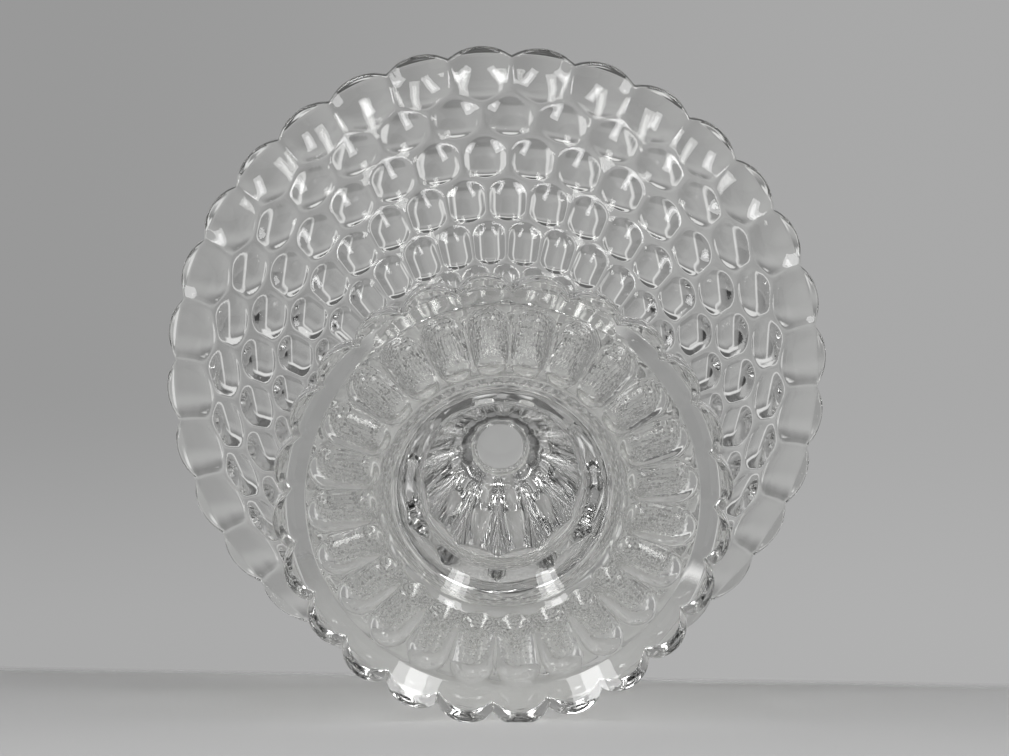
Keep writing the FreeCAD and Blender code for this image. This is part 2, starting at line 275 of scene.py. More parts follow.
def smooth_profile(corners, spacing):
    """Points along straight runs joined by tangent arcs, as arrays of radius and height.

    A corner is (radius, height, rounding). Where the path turns by t, its arc of radius p starts
    p tan(t/2) before the corner, or at most ARC_SHARE of the shorter run.
    """
    points = [np.array(corner[:2]) for corner in corners]
    line = [points[0]]

    def run_to(end):
        start = line[-1]
        steps = max(1, math.ceil(np.linalg.norm(end - start) / spacing))
        for step in range(1, steps + 1):
            line.append(start + (end - start) * step / steps)

    for before, here, after, corner in zip(points, points[1:], points[2:], corners[1:]):
        back, ahead = before - here, after - here
        back_length, ahead_length = np.linalg.norm(back), np.linalg.norm(ahead)
        back, ahead = back / back_length, ahead / ahead_length
        turn = math.pi - math.acos(np.clip(back @ ahead, -1, 1))
        if turn < STRAIGHT:
            run_to(here)
            continue
        reach = min(corner[2] * math.tan(turn / 2), ARC_SHARE * min(back_length, ahead_length))
        radius = reach / math.tan(turn / 2)
        run_to(here + back * reach)
        inward = (back + ahead) / np.linalg.norm(back + ahead)
        centre = here + inward * radius / math.cos(turn / 2)
        steps = max(3, math.ceil(turn * radius / spacing), math.ceil(turn / ARC_STEP))
        across = back - (back @ inward) * inward
        across = across / np.linalg.norm(across)
        for step in range(1, steps + 1):
            off = turn * (0.5 - step / steps)
            line.append(centre - inward * radius * math.cos(off) + across * radius * math.sin(off))
    run_to(points[-1])
    return np.array(line)


def offset_corners(corners, wall):
    """The corners moved one wall to the left of the path's direction."""
    points = np.array([corner[:2] for corner in corners])
    runs = np.diff(points, axis=0)
    runs = runs / np.linalg.norm(runs, axis=1)[:, None]
    moved = []
    for place, (point, corner) in enumerate(zip(points, corners)):
        before = runs[max(place - 1, 0)]
        after = runs[min(place, len(runs) - 1)]
        left_before = np.array([-before[1], before[0]])
        middle = left_before + np.array([-after[1], after[0]])
        middle = middle / np.linalg.norm(middle)
        bends_left = before[0] * after[1] - before[1] * after[0] > 0
        rounding = corner[2] + (-wall if bends_left else wall) if corner[2] else 0.0
        moved.append((*(point + middle * wall / (middle @ left_before)), rounding))
    return moved


def lobed_radius(angles, lobes, tip, notch, inset):
    """Distance from the axis to an outline of one arc for each lobe, moved inwards by inset.

    An arc of radius p about a point c from the axis is c cos a + sqrt(p^2 - (c sin a)^2) away, where
    a is the angle from the middle of the lobe. A notch is at angle 0.
    """
    half = math.pi / lobes
    low = tip - notch
    centre = (tip ** 2 - low ** 2) / (2 * (tip - low * math.cos(half)))
    side = angles % (2 * half) - half
    return centre * np.cos(side) + np.sqrt((tip - centre - inset) ** 2 - (centre * np.sin(side)) ** 2)


def thumbprint(across, along, width, length, depth):
    """Depth of a round-ended hollow at a point of the wall, below zero outside it.

    It is pressed by a round bar with ball ends: sqrt(p^2 - u^2) - (p - depth), where u is the distance
    from the straight line through the bar's middle and p the bar's radius.
    """
    short = min(width, length)
    straight = abs(length - width) / 2
    bar = (short ** 2 / 4 + depth ** 2) / (2 * depth)
    if width > length:
        across = np.maximum(np.abs(across) - straight, 0)
    else:
        along = np.maximum(np.abs(along) - straight, 0)
    return np.sqrt(np.maximum(bar ** 2 - across ** 2 - along ** 2, 0)) - (bar - depth)


def melted(hollows, polish):
    """The deepest of several hollows and the plain wall, with their edges rounded.

    It is a soft maximum, polish * log(1 + sum of exp(hollow / polish)).
    """
    total = np.ones_like(hollows[0])
    for hollow in hollows:
        total = total + np.exp(np.clip(hollow / polish, -60, 60))
    return polish * np.log(total)


def rings(radius, height, angles):
    """Points (ring, place, xyz) from radius and height arrays (ring, place)."""
    radius, height, angles = np.broadcast_arrays(radius, height, angles)
    return np.stack([radius * np.cos(angles), radius * np.sin(angles), height], axis=-1)


def ring_mesh(name, points, joint_rings):
    """A closed mesh through rings of points (ring, place, xyz), with a pole at each end.

    Quads join places k and k+1 of rings j and j+1. joint_rings says for each band, poles included,
    whether it is a fused joint.
    """
    number, places = points.shape[:2]
    poles = [(0, 0, points[0, :, 2].mean()), (0, 0, points[-1, :, 2].mean())]
    here = np.arange(places)
    there = np.roll(here, -1)
    start = (np.arange(number - 1) * places)[:, None]
    quads = np.stack([start + here, start + there, start + places + there, start + places + here], -1)
    last = (number - 1) * places
    first_fan = np.stack([np.full(places, number * places), there, here], -1)
    last_fan = np.stack([np.full(places, number * places + 1), last + here, last + there], -1)
    faces = first_fan.tolist() + quads.reshape(-1, 4).tolist() + last_fan.tolist()
    mesh = bpy.data.meshes.new(name)
    mesh.from_pydata(np.concatenate([points.reshape(-1, 3), poles]).tolist(), [], faces)
    slots = np.repeat(np.array(joint_rings, np.int32) * JOINT_SLOT, places)
    mesh.polygons.foreach_set("material_index", slots)
    mesh.polygons.foreach_set("use_smooth", np.ones(len(faces), bool))
    mesh.update()
    piece = bpy.data.objects.new(name, mesh)
    bpy.context.scene.collection.objects.link(piece)
    mesh.materials.append(glass_material())
    mesh.materials.append(joint_material())
    return piece


def bowl_profile(sizes):
    """Outside corners of the bowl, from the axis out to the lip."""
    slope = sizes.lip_rise
    lip_radius = sizes.rim_radius + sizes.lip_overhang
    past_ring = sizes.lip_overhang + sizes.bevel_width
    lip_height = sizes.height + past_ring * math.tan(slope) - sizes.wall / math.cos(slope)
    bend_radius = lip_radius - sizes.lip_width * math.cos(slope)
    bend_height = lip_height - sizes.lip_width * math.sin(slope)
    return [(0.0, BOWL_BASE, 0.0), (sizes.base_reach, BOWL_BASE, sizes.base_bend),
            (bend_radius, bend_height, sizes.lip_bend), (lip_radius, lip_height, 0.0)]


def bowl_points(sizes, joint_radius):
    """Rings of the bowl: outside from the base to the lip, round its edge, and the inside back."""
    angles = np.linspace(0, TAU, BOWL_PLACES, endpoint=False)
    lobe_rings, edge_steps, bevel_rings, flat_rings = 20, 12, 6, 9
    corners = bowl_profile(sizes)
    outside = smooth_profile(corners, PRESSED_STEP)
    inside = smooth_profile(offset_corners(corners, sizes.wall), SMOOTH_STEP)
    lobe_line = lobed_radius(angles, sizes.lobes, sizes.rim_radius, sizes.notch, sizes.lobe_rounding)
    travelled = np.concatenate([[0], np.cumsum(np.linalg.norm(np.diff(outside, axis=0), axis=1))])
    turned = np.gradient(outside, axis=0)
    slope = np.arctan2(turned[:, 1], turned[:, 0])

    def heights(radius):
        """Heights of the outside and the inside, which is bevelled beyond the round ring on top."""
        low = np.interp(radius, outside[:, 0], outside[:, 1])
        high = np.interp(radius, inside[:, 0], inside[:, 1])
        past = np.maximum(radius - (sizes.rim_radius - sizes.bevel_width), 0)
        return low, high - past * (math.tan(sizes.lip_rise) + math.tan(sizes.bevel_fall))

    # Round rings as far as the lip, then rings that spread out to the lobes
    spreading = 5 * MM
    lip_start = lobe_line.min() - spreading
    between = (outside[:, 0] > joint_radius + RING_GAP) & (outside[:, 0] < lip_start - RING_GAP)
    base = np.linspace(joint_radius / 3, joint_radius, 3)
    spread = np.linspace(0, 1, lobe_rings)[:, None]
    round_radius = np.concatenate([base, outside[between, 0]])
    radius = np.concatenate([np.repeat(round_radius[:, None], len(angles), 1),
                             lip_start + spread * (lobe_line - lip_start)])
    low = heights(radius)[0]
    depth = bowl_prints(sizes, radius, angles, np.interp(radius, outside[:, 0], travelled),
                        travelled[-1])
    lean = np.interp(radius, outside[:, 0], slope)
    below = rings(radius - depth * np.sin(lean), low + depth * np.cos(lean), angles)

    # The upright side of the lobes
    turn = np.linspace(0, math.pi, edge_steps)[1:-1, None]
    swell = sizes.lobe_rounding * np.sqrt(np.sin(turn))
    edge_radius = lobed_radius(angles, sizes.lobes, sizes.rim_radius, sizes.notch,
                               sizes.lobe_rounding - swell)
    edge_low, edge_high = heights(lobe_line)
    edge_low = edge_low + depth[-1] * np.cos(lean[-1])
    edge_start = radius[-1] - depth[-1] * np.sin(lean[-1])
    fade = (1 + np.cos(turn)) / 2
    edge_radius = edge_radius + (edge_start - lobe_line) * fade ** 4
    edge_height = edge_low + (edge_high - edge_low) * (1 - np.cos(turn)) / 2
    edge = rings(edge_radius, edge_height, angles)

    # The bevel, the top of the lip and the inside
    least_bevel = 0.2 * MM
    crease = np.minimum(sizes.rim_radius - sizes.bevel_width, lobe_line - least_bevel)
    bevel_share = np.linspace(0, 1, bevel_rings)[:, None]
    flat_share = np.linspace(0, 1, flat_rings)[:, None]
    bevel_radius = lobe_line + bevel_share * (crease + CREASE_GAP - lobe_line)
    flat_radius = crease - CREASE_GAP + flat_share * (lip_start - crease + CREASE_GAP)
    top_radius = np.concatenate([bevel_radius, flat_radius])
    top = rings(top_radius, heights(top_radius)[1], angles)
    pole_gap, lip_gap = 4 * MM, 1 * MM
    well = inside[(inside[:, 0] > pole_gap) & (inside[:, 0] < lip_start - lip_gap)][::-1]
    floor = rings(well[:, :1], well[:, 1:], angles)
    points = np.concatenate([below, edge, top, floor])
    joints = [ring < len(base) for ring in range(len(points) + 1)]
    return points, joints


def bowl_prints(sizes, radius, angles, travelled, full):
    """Depth of the rim cells and thumbprints at each point of the outside."""
    step = TAU / sizes.lobes
    cells_end = sizes.cell_inset + sizes.cell_length
    hollows = []
    for row in range(sizes.rows + 1):
        if row == 0:
            length, depth, from_lip = 2 * (cells_end + sizes.cell_nesting), sizes.cell_depth, 0.0
        else:
            length, depth = sizes.row_pitch, sizes.print_depth
            from_lip = cells_end + (row - 0.5) * sizes.row_pitch
        along = travelled - (full - from_lip)
        place = np.interp(full - from_lip, travelled[:, 0], radius[:, 0])
        width = 2 * place * math.tan(step / 2) - sizes.land
        shift = 0.5 if row % 2 == 0 else 0.0
        side = ((angles / step - shift + 0.5) % 1 - 0.5) * step
        across = side * (place if row == 0 else radius)
        hollows.append(thumbprint(across, along, width, length, depth))
    return melted(hollows, sizes.polish)


def flute_radius(sizes, rib, angles):
    """Distance from the axis to the fluted outline whose ribs are this far out.

    Each flute is part of a circle about a point A outside the stem, of radius p = the distance from A
    to the rib, so the outline is A cos a - sqrt(p^2 - (A sin a)^2) away.
    """
    half = math.pi / sizes.flutes
    half_width = sizes.stem_foot * math.sin(half)
    far = sizes.stem_foot * math.cos(half) + math.sqrt(sizes.flute_radius ** 2 - half_width ** 2)
    round_about = np.hypot(far - rib * math.cos(half), rib * math.sin(half))
    side = (angles + half) % (2 * half) - half
    return far * np.cos(side) - np.sqrt(round_about ** 2 - (far * np.sin(side)) ** 2)


def pedestal_points(sizes, top):
    """Rings of the pedestal: down the hollow, across the underside, round the lobes and up the stem."""
    angles = np.linspace(0, TAU, PEDESTAL_PLACES, endpoint=False)
    cone_rings, side_steps, slope_rings = 9, 11, 14
    plate_edge = sizes.foot_radius - sizes.skirt_width
    plate_top = sizes.skirt_height + sizes.plate
    hollow_top = top - sizes.hollow_web
    rim_inside = sizes.foot_radius - sizes.skirt_edge
    step_foot = sizes.skirt_height + sizes.plate_rise
    hollow = smooth_profile([
        (0.0, hollow_top, 0.0), (sizes.hollow_end, hollow_top, sizes.hollow_end_rounding),
        (sizes.neck_radius - sizes.neck_wall, sizes.neck_height - sizes.neck_wall, sizes.hollow_bend),
        (sizes.throat_radius, sizes.throat_height, sizes.throat_bend),
        (sizes.well_radius - sizes.well_width, step_foot + sizes.well_rise, sizes.well_rounding),
        (sizes.well_radius, step_foot, sizes.well_rounding),
        (plate_edge, sizes.skirt_height, sizes.skirt_rounding), (rim_inside, 0.0, 0.0)], SMOOTH_STEP)
    pole_gap, past_circle = 1 * MM, 0.6 * MM
    hollow = hollow[(hollow[:, 0] > pole_gap) & (hollow[:, 0] < plate_edge + past_circle)]
    inner = rings(hollow[:, :1], hollow[:, 1:], angles)

    # The skirt, cut by the lobes
    lobe_line = lobed_radius(angles, sizes.lobes, sizes.foot_radius, sizes.notch, sizes.lobe_rounding)
    cone_share = np.linspace(0, 1, cone_rings)[1:, None]
    least_rim = 0.25 * MM
    crease = np.minimum(rim_inside, lobe_line - least_rim)
    cone_radius = hollow[-1, 0] + cone_share * (crease - hollow[-1, 0])
    cone_height = sizes.skirt_height * (rim_inside - cone_radius) / (rim_inside - plate_edge)
    round_radius = sizes.foot_radius + sizes.foot_trim
    flat_share = np.array([0.06, 0.2, 0.4, 0.6, 0.8, 1.0])[:, None]
    flat_radius = crease + flat_share * (lobe_line - crease)

    def under(radius):
        """Height of the standing rim: a cone, a flat ring and a rounded edge."""
        cone = sizes.skirt_height * np.maximum(rim_inside - radius, 0) / (rim_inside - plate_edge)
        past = np.clip(radius - (round_radius - sizes.edge_rounding), 0, sizes.edge_rounding)
        return cone + sizes.edge_rounding - np.sqrt(sizes.edge_rounding ** 2 - past ** 2)

    shoulder = sizes.foot_radius - sizes.shoulder_width
    below_edge, under_stem = 1.2 * MM, 4 * MM
    crown = smooth_profile([
        (round_radius, sizes.edge_height - below_edge, 0.0),
        (round_radius, sizes.edge_height, sizes.edge_rounding),
        (shoulder, plate_top, sizes.shoulder_rounding),
        (sizes.neck_foot, plate_top + sizes.plate_rise, sizes.neck_flare),
        (sizes.neck_radius, sizes.neck_height, sizes.ledge_rounding),
        (sizes.stem_foot - under_stem, sizes.neck_height, 0.0)], FOOT_STEP)
    inside_notch = 1 * MM
    skirt_top = sizes.foot_radius - sizes.notch - inside_notch
    over = crown[::-1]
    over = over[over[:, 0] > plate_edge]

    low, high = under(lobe_line), np.interp(lobe_line, over[:, 0], over[:, 1])
    turn = np.linspace(0, math.pi, side_steps)[1:-1, None]
    swell = sizes.lobe_rounding * np.sqrt(np.sin(turn))
    side_radius = lobed_radius(angles, sizes.lobes, sizes.foot_radius, sizes.notch,
                               sizes.lobe_rounding - swell)
    side_height = low + (high - low) * (1 - np.cos(turn)) / 2
    slope_share = np.linspace(0, 1, slope_rings)[:, None]
    slope_radius = lobe_line + slope_share * (skirt_top - lobe_line)
    slope_height = np.interp(slope_radius, over[:, 0], over[:, 1])

    # Plate with its long thumbprints, flare and neck
    level, neck_start, plate_end = 0.02 * MM, 4 * MM, 3 * MM
    plate = crown[crown[:, 0] < skirt_top - RING_GAP]
    ledge = plate[-1, 1]
    wall = plate[:np.argmax(plate[:, 1] > sizes.neck_height - level)]
    neck = wall[:, 1] > plate_top + neck_start
    keep = ~neck
    keep[np.flatnonzero(neck)[::4]] = True      # the neck is plain, so a quarter of its rings will do
    wall = wall[keep]
    step = TAU / sizes.lobes
    oval_centre = (plate_edge + sizes.well_radius) / 2
    side = ((angles / step) % 1 - 0.5) * step
    depth = melted([thumbprint(side * wall[:, :1], wall[:, :1] - oval_centre,
                               sizes.oval_width, sizes.oval_length, sizes.oval_depth)], sizes.polish)
    depth = depth * (wall[:, 1:] < plate_top + plate_end)
    plate_rings = rings(wall[:, :1], wall[:, 1:] - depth, angles)

    # Ledge and stem
    foot_line = flute_radius(sizes, sizes.stem_foot, angles)
    rib_start = 0.12 * MM
    ledge_share = np.array([0.0, 0.3, 0.7, 1.0])[:, None]
    ledge_start, ledge_end = sizes.neck_radius - 0.2 * MM, foot_line + 0.15 * MM
    ledge_radius = ledge_start + ledge_share * (ledge_end - ledge_start)
    ledge_rings = rings(ledge_radius, ledge + 0 * ledge_radius, angles)
    middle = ((sizes.stem_foot + sizes.stem_top) / 2 - sizes.stem_waist, (ledge + top) / 2)
    ribs = smooth_profile([(sizes.stem_foot, ledge, 0.0), (*middle, top - ledge),
                           (sizes.stem_top, top, 0.0)], STEM_STEP)
    ribs[0, 1] += rib_start
    stem_rings = rings(flute_radius(sizes, ribs[:, :1], angles), ribs[:, 1:], angles)
    top_line = flute_radius(sizes, sizes.stem_top, angles)
    cap_rings = rings(top_line * JOINT_RINGS[1::-1], top, angles)

    points = np.concatenate([
        inner, rings(cone_radius, cone_height, angles), rings(flat_radius, under(flat_radius), angles),
        rings(side_radius, side_height, angles), rings(slope_radius, slope_height, angles),
        plate_rings, ledge_rings, stem_rings, cap_rings])
    joints = [ring >= len(points) - len(cap_rings) for ring in range(len(points) + 1)]
    return points, joints, top_line


def wafer_points(sizes, stem_line, low, high):
    """Rings of the wafer: underside from the stem's outline, the rounded edge and the top."""
    angles = np.linspace(0, TAU, len(stem_line), endpoint=False)
    start = sizes.radius - 3 * MM
    edge = smooth_profile([(start, low, 0.0), (sizes.radius, low, sizes.rounding),
                           (sizes.radius, high, sizes.rounding), (start, high, 0.0)], WAFER_STEP)
    flat = sizes.radius - sizes.rounding
    edge = edge[edge[:, 0] >= flat - 0.001 * MM]
    under = rings(stem_line * JOINT_RINGS, low, angles)
    over = rings(flat * JOINT_RINGS[1::-1], high, angles)
    points = np.concatenate([under, rings(edge[:, :1], edge[:, 1:], angles), over])
    last = len(points) - len(over)
    joints = [ring < len(under) or ring >= last for ring in range(len(points) + 1)]
    return points, joints


# --- Materials ---

def ripple_group():
    """Shared effect: the slow waviness and the fine grain of pressed glass, as a height."""
    group = bpy.data.node_groups.get("pressed_glass_ripple")
    if group:
        return group
    group = bpy.data.node_groups.new("pressed_glass_ripple", "ShaderNodeTree")
    group.interface.new_socket("Wave Scale", in_out="INPUT", socket_type="NodeSocketFloat")
    group.interface.new_socket("Grain Scale", in_out="INPUT", socket_type="NodeSocketFloat")
    group.interface.new_socket("Height", in_out="OUTPUT", socket_type="NodeSocketFloat")
    nodes, links = group.nodes, group.links
    given = nodes.new("NodeGroupInput")
    place = nodes.new("ShaderNodeTexCoord")
    wave = nodes.new("ShaderNodeTexNoise")
    wave.inputs["Detail"].default_value = 1.0
    grain = nodes.new("ShaderNodeTexNoise")
    grain.inputs["Detail"].default_value = 2.0
    weak = nodes.new("ShaderNodeMath")
    weak.operation = "MULTIPLY_ADD"
    weak.inputs[1].default_value = GRAIN_HEIGHT
    out = nodes.new("NodeGroupOutput")
    links.new(place.outputs["Object"], wave.inputs["Vector"])
    links.new(place.outputs["Object"], grain.inputs["Vector"])
    links.new(given.outputs["Wave Scale"], wave.inputs["Scale"])
    links.new(given.outputs["Grain Scale"], grain.inputs["Scale"])
    links.new(grain.outputs["Fac"], weak.inputs[0])
    links.new(wave.outputs["Fac"], weak.inputs[2])
    links.new(weak.outputs[0], out.inputs["Height"])
    return group


def stipple_group():
    """Shared effect: the pebbled bottoms of the long thumbprints, as a height.

    The place is turned into lobes round the axis. An oval is where the length of (2 side / width,
    2 (radius - centre) / length) is under 1, and Top is the height that the ovals stay under.
    """
    group = bpy.data.node_groups.get("pebbled_ovals")
    if group:
        return group
    group = bpy.data.node_groups.new("pebbled_ovals", "ShaderNodeTree")
    for name in ("Lobes", "Centre", "Width", "Length", "Top", "Grain Scale", "Depth"):
        group.interface.new_socket(name, in_out="INPUT", socket_type="NodeSocketFloat")
    group.interface.new_socket("Height", in_out="OUTPUT", socket_type="NodeSocketFloat")
    nodes, links = group.nodes, group.links
    given = nodes.new("NodeGroupInput").outputs

    def maths(operation, *values):
        node = nodes.new("ShaderNodeMath")
        node.operation = operation
        for socket, value in zip(node.inputs, values):
            if isinstance(value, float):
                socket.default_value = value
            else:
                links.new(value, socket)
        return node.outputs[0]

    def length(first, second):
        pair = nodes.new("ShaderNodeCombineXYZ")
        links.new(first, pair.inputs[0])
        links.new(second, pair.inputs[1])
        measure = nodes.new("ShaderNodeVectorMath")
        measure.operation = "LENGTH"
        links.new(pair.outputs[0], measure.inputs[0])
        return measure.outputs["Value"]

    place = nodes.new("ShaderNodeTexCoord")
    parts = nodes.new("ShaderNodeSeparateXYZ")
    links.new(place.outputs["Object"], parts.inputs[0])
    radius = length(parts.outputs[0], parts.outputs[1])
    step = maths("DIVIDE", TAU, given["Lobes"])
    turns = maths("DIVIDE", maths("ARCTAN2", parts.outputs[1], parts.outputs[0]), step)
    off_middle = maths("SUBTRACT", maths("FRACT", turns), 0.5)
    side = maths("MULTIPLY", off_middle, maths("MULTIPLY", step, radius))
    across = maths("DIVIDE", maths("MULTIPLY", side, 2.0), given["Width"])
    outward = maths("SUBTRACT", radius, given["Centre"])
    along = maths("DIVIDE", maths("MULTIPLY", outward, 2.0), given["Length"])
    inside = nodes.new("ShaderNodeMapRange")
    inside.interpolation_type = "SMOOTHSTEP"
    inside.inputs["From Min"].default_value = PEBBLE_EDGE[0]
    inside.inputs["From Max"].default_value = PEBBLE_EDGE[1]
    links.new(length(across, along), inside.inputs["Value"])
    low = maths("LESS_THAN", parts.outputs[2], given["Top"])
    grain = nodes.new("ShaderNodeTexVoronoi")
    links.new(place.outputs["Object"], grain.inputs["Vector"])
    links.new(given["Grain Scale"], grain.inputs["Scale"])
    masked = maths("MULTIPLY", maths("MULTIPLY", inside.outputs["Result"], low), given["Depth"])
    out = nodes.new("NodeGroupOutput")
    links.new(maths("MULTIPLY", grain.outputs["Distance"], masked), out.inputs["Height"])
    return group


def new_material(name):
    material = bpy.data.materials.new(name)
    material.use_nodes = True
    material.node_tree.nodes.clear()
    return material, material.node_tree.nodes, material.node_tree.links


def glass_material():
    """Clear pressed glass: it lets lamp light through to the table with a little loss."""
    made = bpy.data.materials.get("clear_glass_fire_polished")
    if made:
        return made
    look = bpy.context.scene.glass_look
    material, nodes, links = new_material("clear_glass_fire_polished")
    glass = nodes.new("ShaderNodeBsdfPrincipled")
    glass.inputs["Base Color"].default_value = (*look.tint, 1.0)
    glass.inputs["Roughness"].default_value = 0.0
    glass.inputs["IOR"].default_value = look.ior
    glass.inputs["Transmission Weight"].default_value = 1.0
    ripple = nodes.new("ShaderNodeGroup")
    ripple.node_tree = ripple_group()
    ripple.inputs["Wave Scale"].default_value = WAVES
    ripple.inputs["Grain Scale"].default_value = GRAINS
    foot = bpy.context.scene.pedestal_sizes
    stipple = nodes.new("ShaderNodeGroup")
    stipple.node_tree = stipple_group()
    for name, value in (("Lobes", foot.lobes), ("Width", foot.oval_width), ("Length", foot.oval_length),
                        ("Centre", (foot.foot_radius - foot.skirt_width + foot.well_radius) / 2),
                        ("Top", foot.neck_height / 2), ("Grain Scale", PEBBLES), ("Depth", look.stipple)):
        stipple.inputs[name].default_value = value
    relief = nodes.new("ShaderNodeMath")
    relief.operation = "ADD"
    bump = nodes.new("ShaderNodeBump")
    bump.inputs["Strength"].default_value = look.ripple
    bump.inputs["Distance"].default_value = RELIEF
    through = nodes.new("ShaderNodeBsdfTransparent")
    through.inputs["Color"].default_value = (*look.shade, 1.0)
    path = nodes.new("ShaderNodeLightPath")
    mix = nodes.new("ShaderNodeMixShader")
    out = nodes.new("ShaderNodeOutputMaterial")
    links.new(ripple.outputs["Height"], relief.inputs[0])
    links.new(stipple.outputs["Height"], relief.inputs[1])
    links.new(relief.outputs[0], bump.inputs["Height"])
    links.new(bump.outputs["Normal"], glass.inputs["Normal"])
    links.new(path.outputs["Is Shadow Ray"], mix.inputs["Fac"])
    links.new(glass.outputs["BSDF"], mix.inputs[1])
    links.new(through.outputs["BSDF"], mix.inputs[2])
    links.new(mix.outputs["Shader"], out.inputs["Surface"])
    return material


def joint_material():
    """The faces where two pieces are fused: light passes as through one mass of glass."""
    made = bpy.data.materials.get("fused_joint")
    if made:
        return made
    material, nodes, links = new_material("fused_joint")
    glass = nodes.new("ShaderNodeBsdfPrincipled")
    glass.inputs["Transmission Weight"].default_value = 1.0
    through = nodes.new("ShaderNodeBsdfTransparent")
    mix = nodes.new("ShaderNodeMixShader")
    mix.inputs["Fac"].default_value = 1.0
    out = nodes.new("ShaderNodeOutputMaterial")
    links.new(glass.outputs["BSDF"], mix.inputs[1])
    links.new(through.outputs["BSDF"], mix.inputs[2])
    links.new(mix.outputs["Shader"], out.inputs["Surface"])
    return material


def patched_grey(nodes, links, place, base, patches):
    """A grey that changes with place or direction: a base with soft-edged patches laid over it in turn.

    A patch is (direction, begins, full, cover, grey). It begins where the place's reach along the
    direction is the first number, and from the second on it hides the cover, a share, of what is below.
    """
    colour = nodes.new("ShaderNodeRGB").outputs[0]
    colour.default_value = (base, base, base, 1)
    for direction, begins, full, cover, grey in patches:
        reach = nodes.new("ShaderNodeVectorMath")
        reach.operation = "DOT_PRODUCT"
        reach.inputs[1].default_value = direction
        edge = nodes.new("ShaderNodeMapRange")
        edge.interpolation_type = "SMOOTHSTEP"
        edge.inputs["From Min"].default_value = begins
        edge.inputs["From Max"].default_value = full
        edge.inputs["To Max"].default_value = cover
        mix = nodes.new("ShaderNodeMix")
        mix.data_type = "RGBA"
        mix.inputs["B"].default_value = (grey, grey, grey, 1)
        links.new(place, reach.inputs[0])
        links.new(reach.outputs["Value"], edge.inputs["Value"])
        links.new(edge.outputs["Result"], mix.inputs["Factor"])
        links.new(colour, mix.inputs["A"])
        colour = mix.outputs["Result"]
    return colour


def band(direction, zero, span, grey, cover=1):
    """A patch whose span is counted from a zero along the direction."""
    return direction, zero + span[0], zero + span[1], cover, grey


def table_material(look, towards_edge, edge):
    """The table: a matt sheet that fades out before its far edge, which is out of focus."""
    material, nodes, links = new_material("grey_table")
    front = nodes.new("ShaderNodeBsdfPrincipled")
    front.inputs["Base Color"].default_value = (look.table_grey, look.table_grey, look.table_grey, 1.0)
    front.inputs["Roughness"].default_value = 0.8
    front.inputs["Specular IOR Level"].default_value = 0.2
    clear = nodes.new("ShaderNodeBsdfTransparent")
    place = nodes.new("ShaderNodeTexCoord")
    fade = patched_grey(nodes, links, place.outputs["Object"], 0,
                        [(towards_edge, edge - look.table_fade, edge, 1, 1)])
    geometry = nodes.new("ShaderNodeNewGeometry")
    either = nodes.new("ShaderNodeMath")
    either.operation = "MAXIMUM"
    mix = nodes.new("ShaderNodeMixShader")
    out = nodes.new("ShaderNodeOutputMaterial")
    links.new(fade, either.inputs[0])
    links.new(geometry.outputs["Backfacing"], either.inputs[1])
    links.new(either.outputs[0], mix.inputs["Fac"])
    links.new(front.outputs[0], mix.inputs[1])
    links.new(clear.outputs["BSDF"], mix.inputs[2])
    links.new(mix.outputs["Shader"], out.inputs["Surface"])
    return material


def backdrop_material(look, sideways, middle, high, level):
    """The backdrop: painted lighter towards the right and the table, with glowing white strips of painted
    light, a painted shadow at its foot, dark bands of painted shade and dark ends.

    Its places are metres from the middle sideways, and over or under the table's level.
    """
    material, nodes, links = new_material("backdrop_with_painted_light")
    place = nodes.new("ShaderNodeTexCoord")
    # Painted light: lighter to the right and towards the table
    patches = [band(sideways, middle, RIGHT_LIGHT_BAND, look.backdrop_lit_right),
               band(-high, -level, LOW_LIGHT_BAND, look.backdrop_lit_low, LOW_LIGHT_COVER),
               # Painted shadow at the foot of the backdrop
               band(-high, -level, GAP_SHADOW_BAND, look.gap_shadow_grey)]
    # Painted light: a glowing white strip on each side, then the ends
    for direction, zero in ((sideways, middle), (-sideways, -middle)):
        patches += [band(direction, zero, SIDE_LIGHT_STRIP, look.light_strip_grey, LIGHT_STRIP_COVER),
                    band(direction, zero, SIDE_END, look.side_grey)]
    # Painted light: a glowing white strip under the backdrop
    patches += [band(-high, -level, LOW_LIGHT_STRIP, look.light_strip_grey),
                # Painted shade: a dark band at the low end and a darker band over the backdrop
                band(-high, -level, LOW_SHADE_END, look.shade_band_grey),
                band(high, level, HIGH_SHADE_BAND, look.shade_band_grey, HIGH_SHADE_COVER),
                band(high, level, HIGH_END, look.side_grey)]
    colour = patched_grey(nodes, links, place.outputs["Object"], look.backdrop_grey, patches)
    front = nodes.new("ShaderNodeEmission")
    clear = nodes.new("ShaderNodeBsdfTransparent")
    geometry = nodes.new("ShaderNodeNewGeometry")
    mix = nodes.new("ShaderNodeMixShader")
    out = nodes.new("ShaderNodeOutputMaterial")
    links.new(colour, front.inputs["Color"])
    links.new(geometry.outputs["Backfacing"], mix.inputs["Fac"])
    links.new(front.outputs["Emission"], mix.inputs[1])
    links.new(clear.outputs["BSDF"], mix.inputs[2])
    links.new(mix.outputs["Shader"], out.inputs["Surface"])
    return material


# --- Stage ---

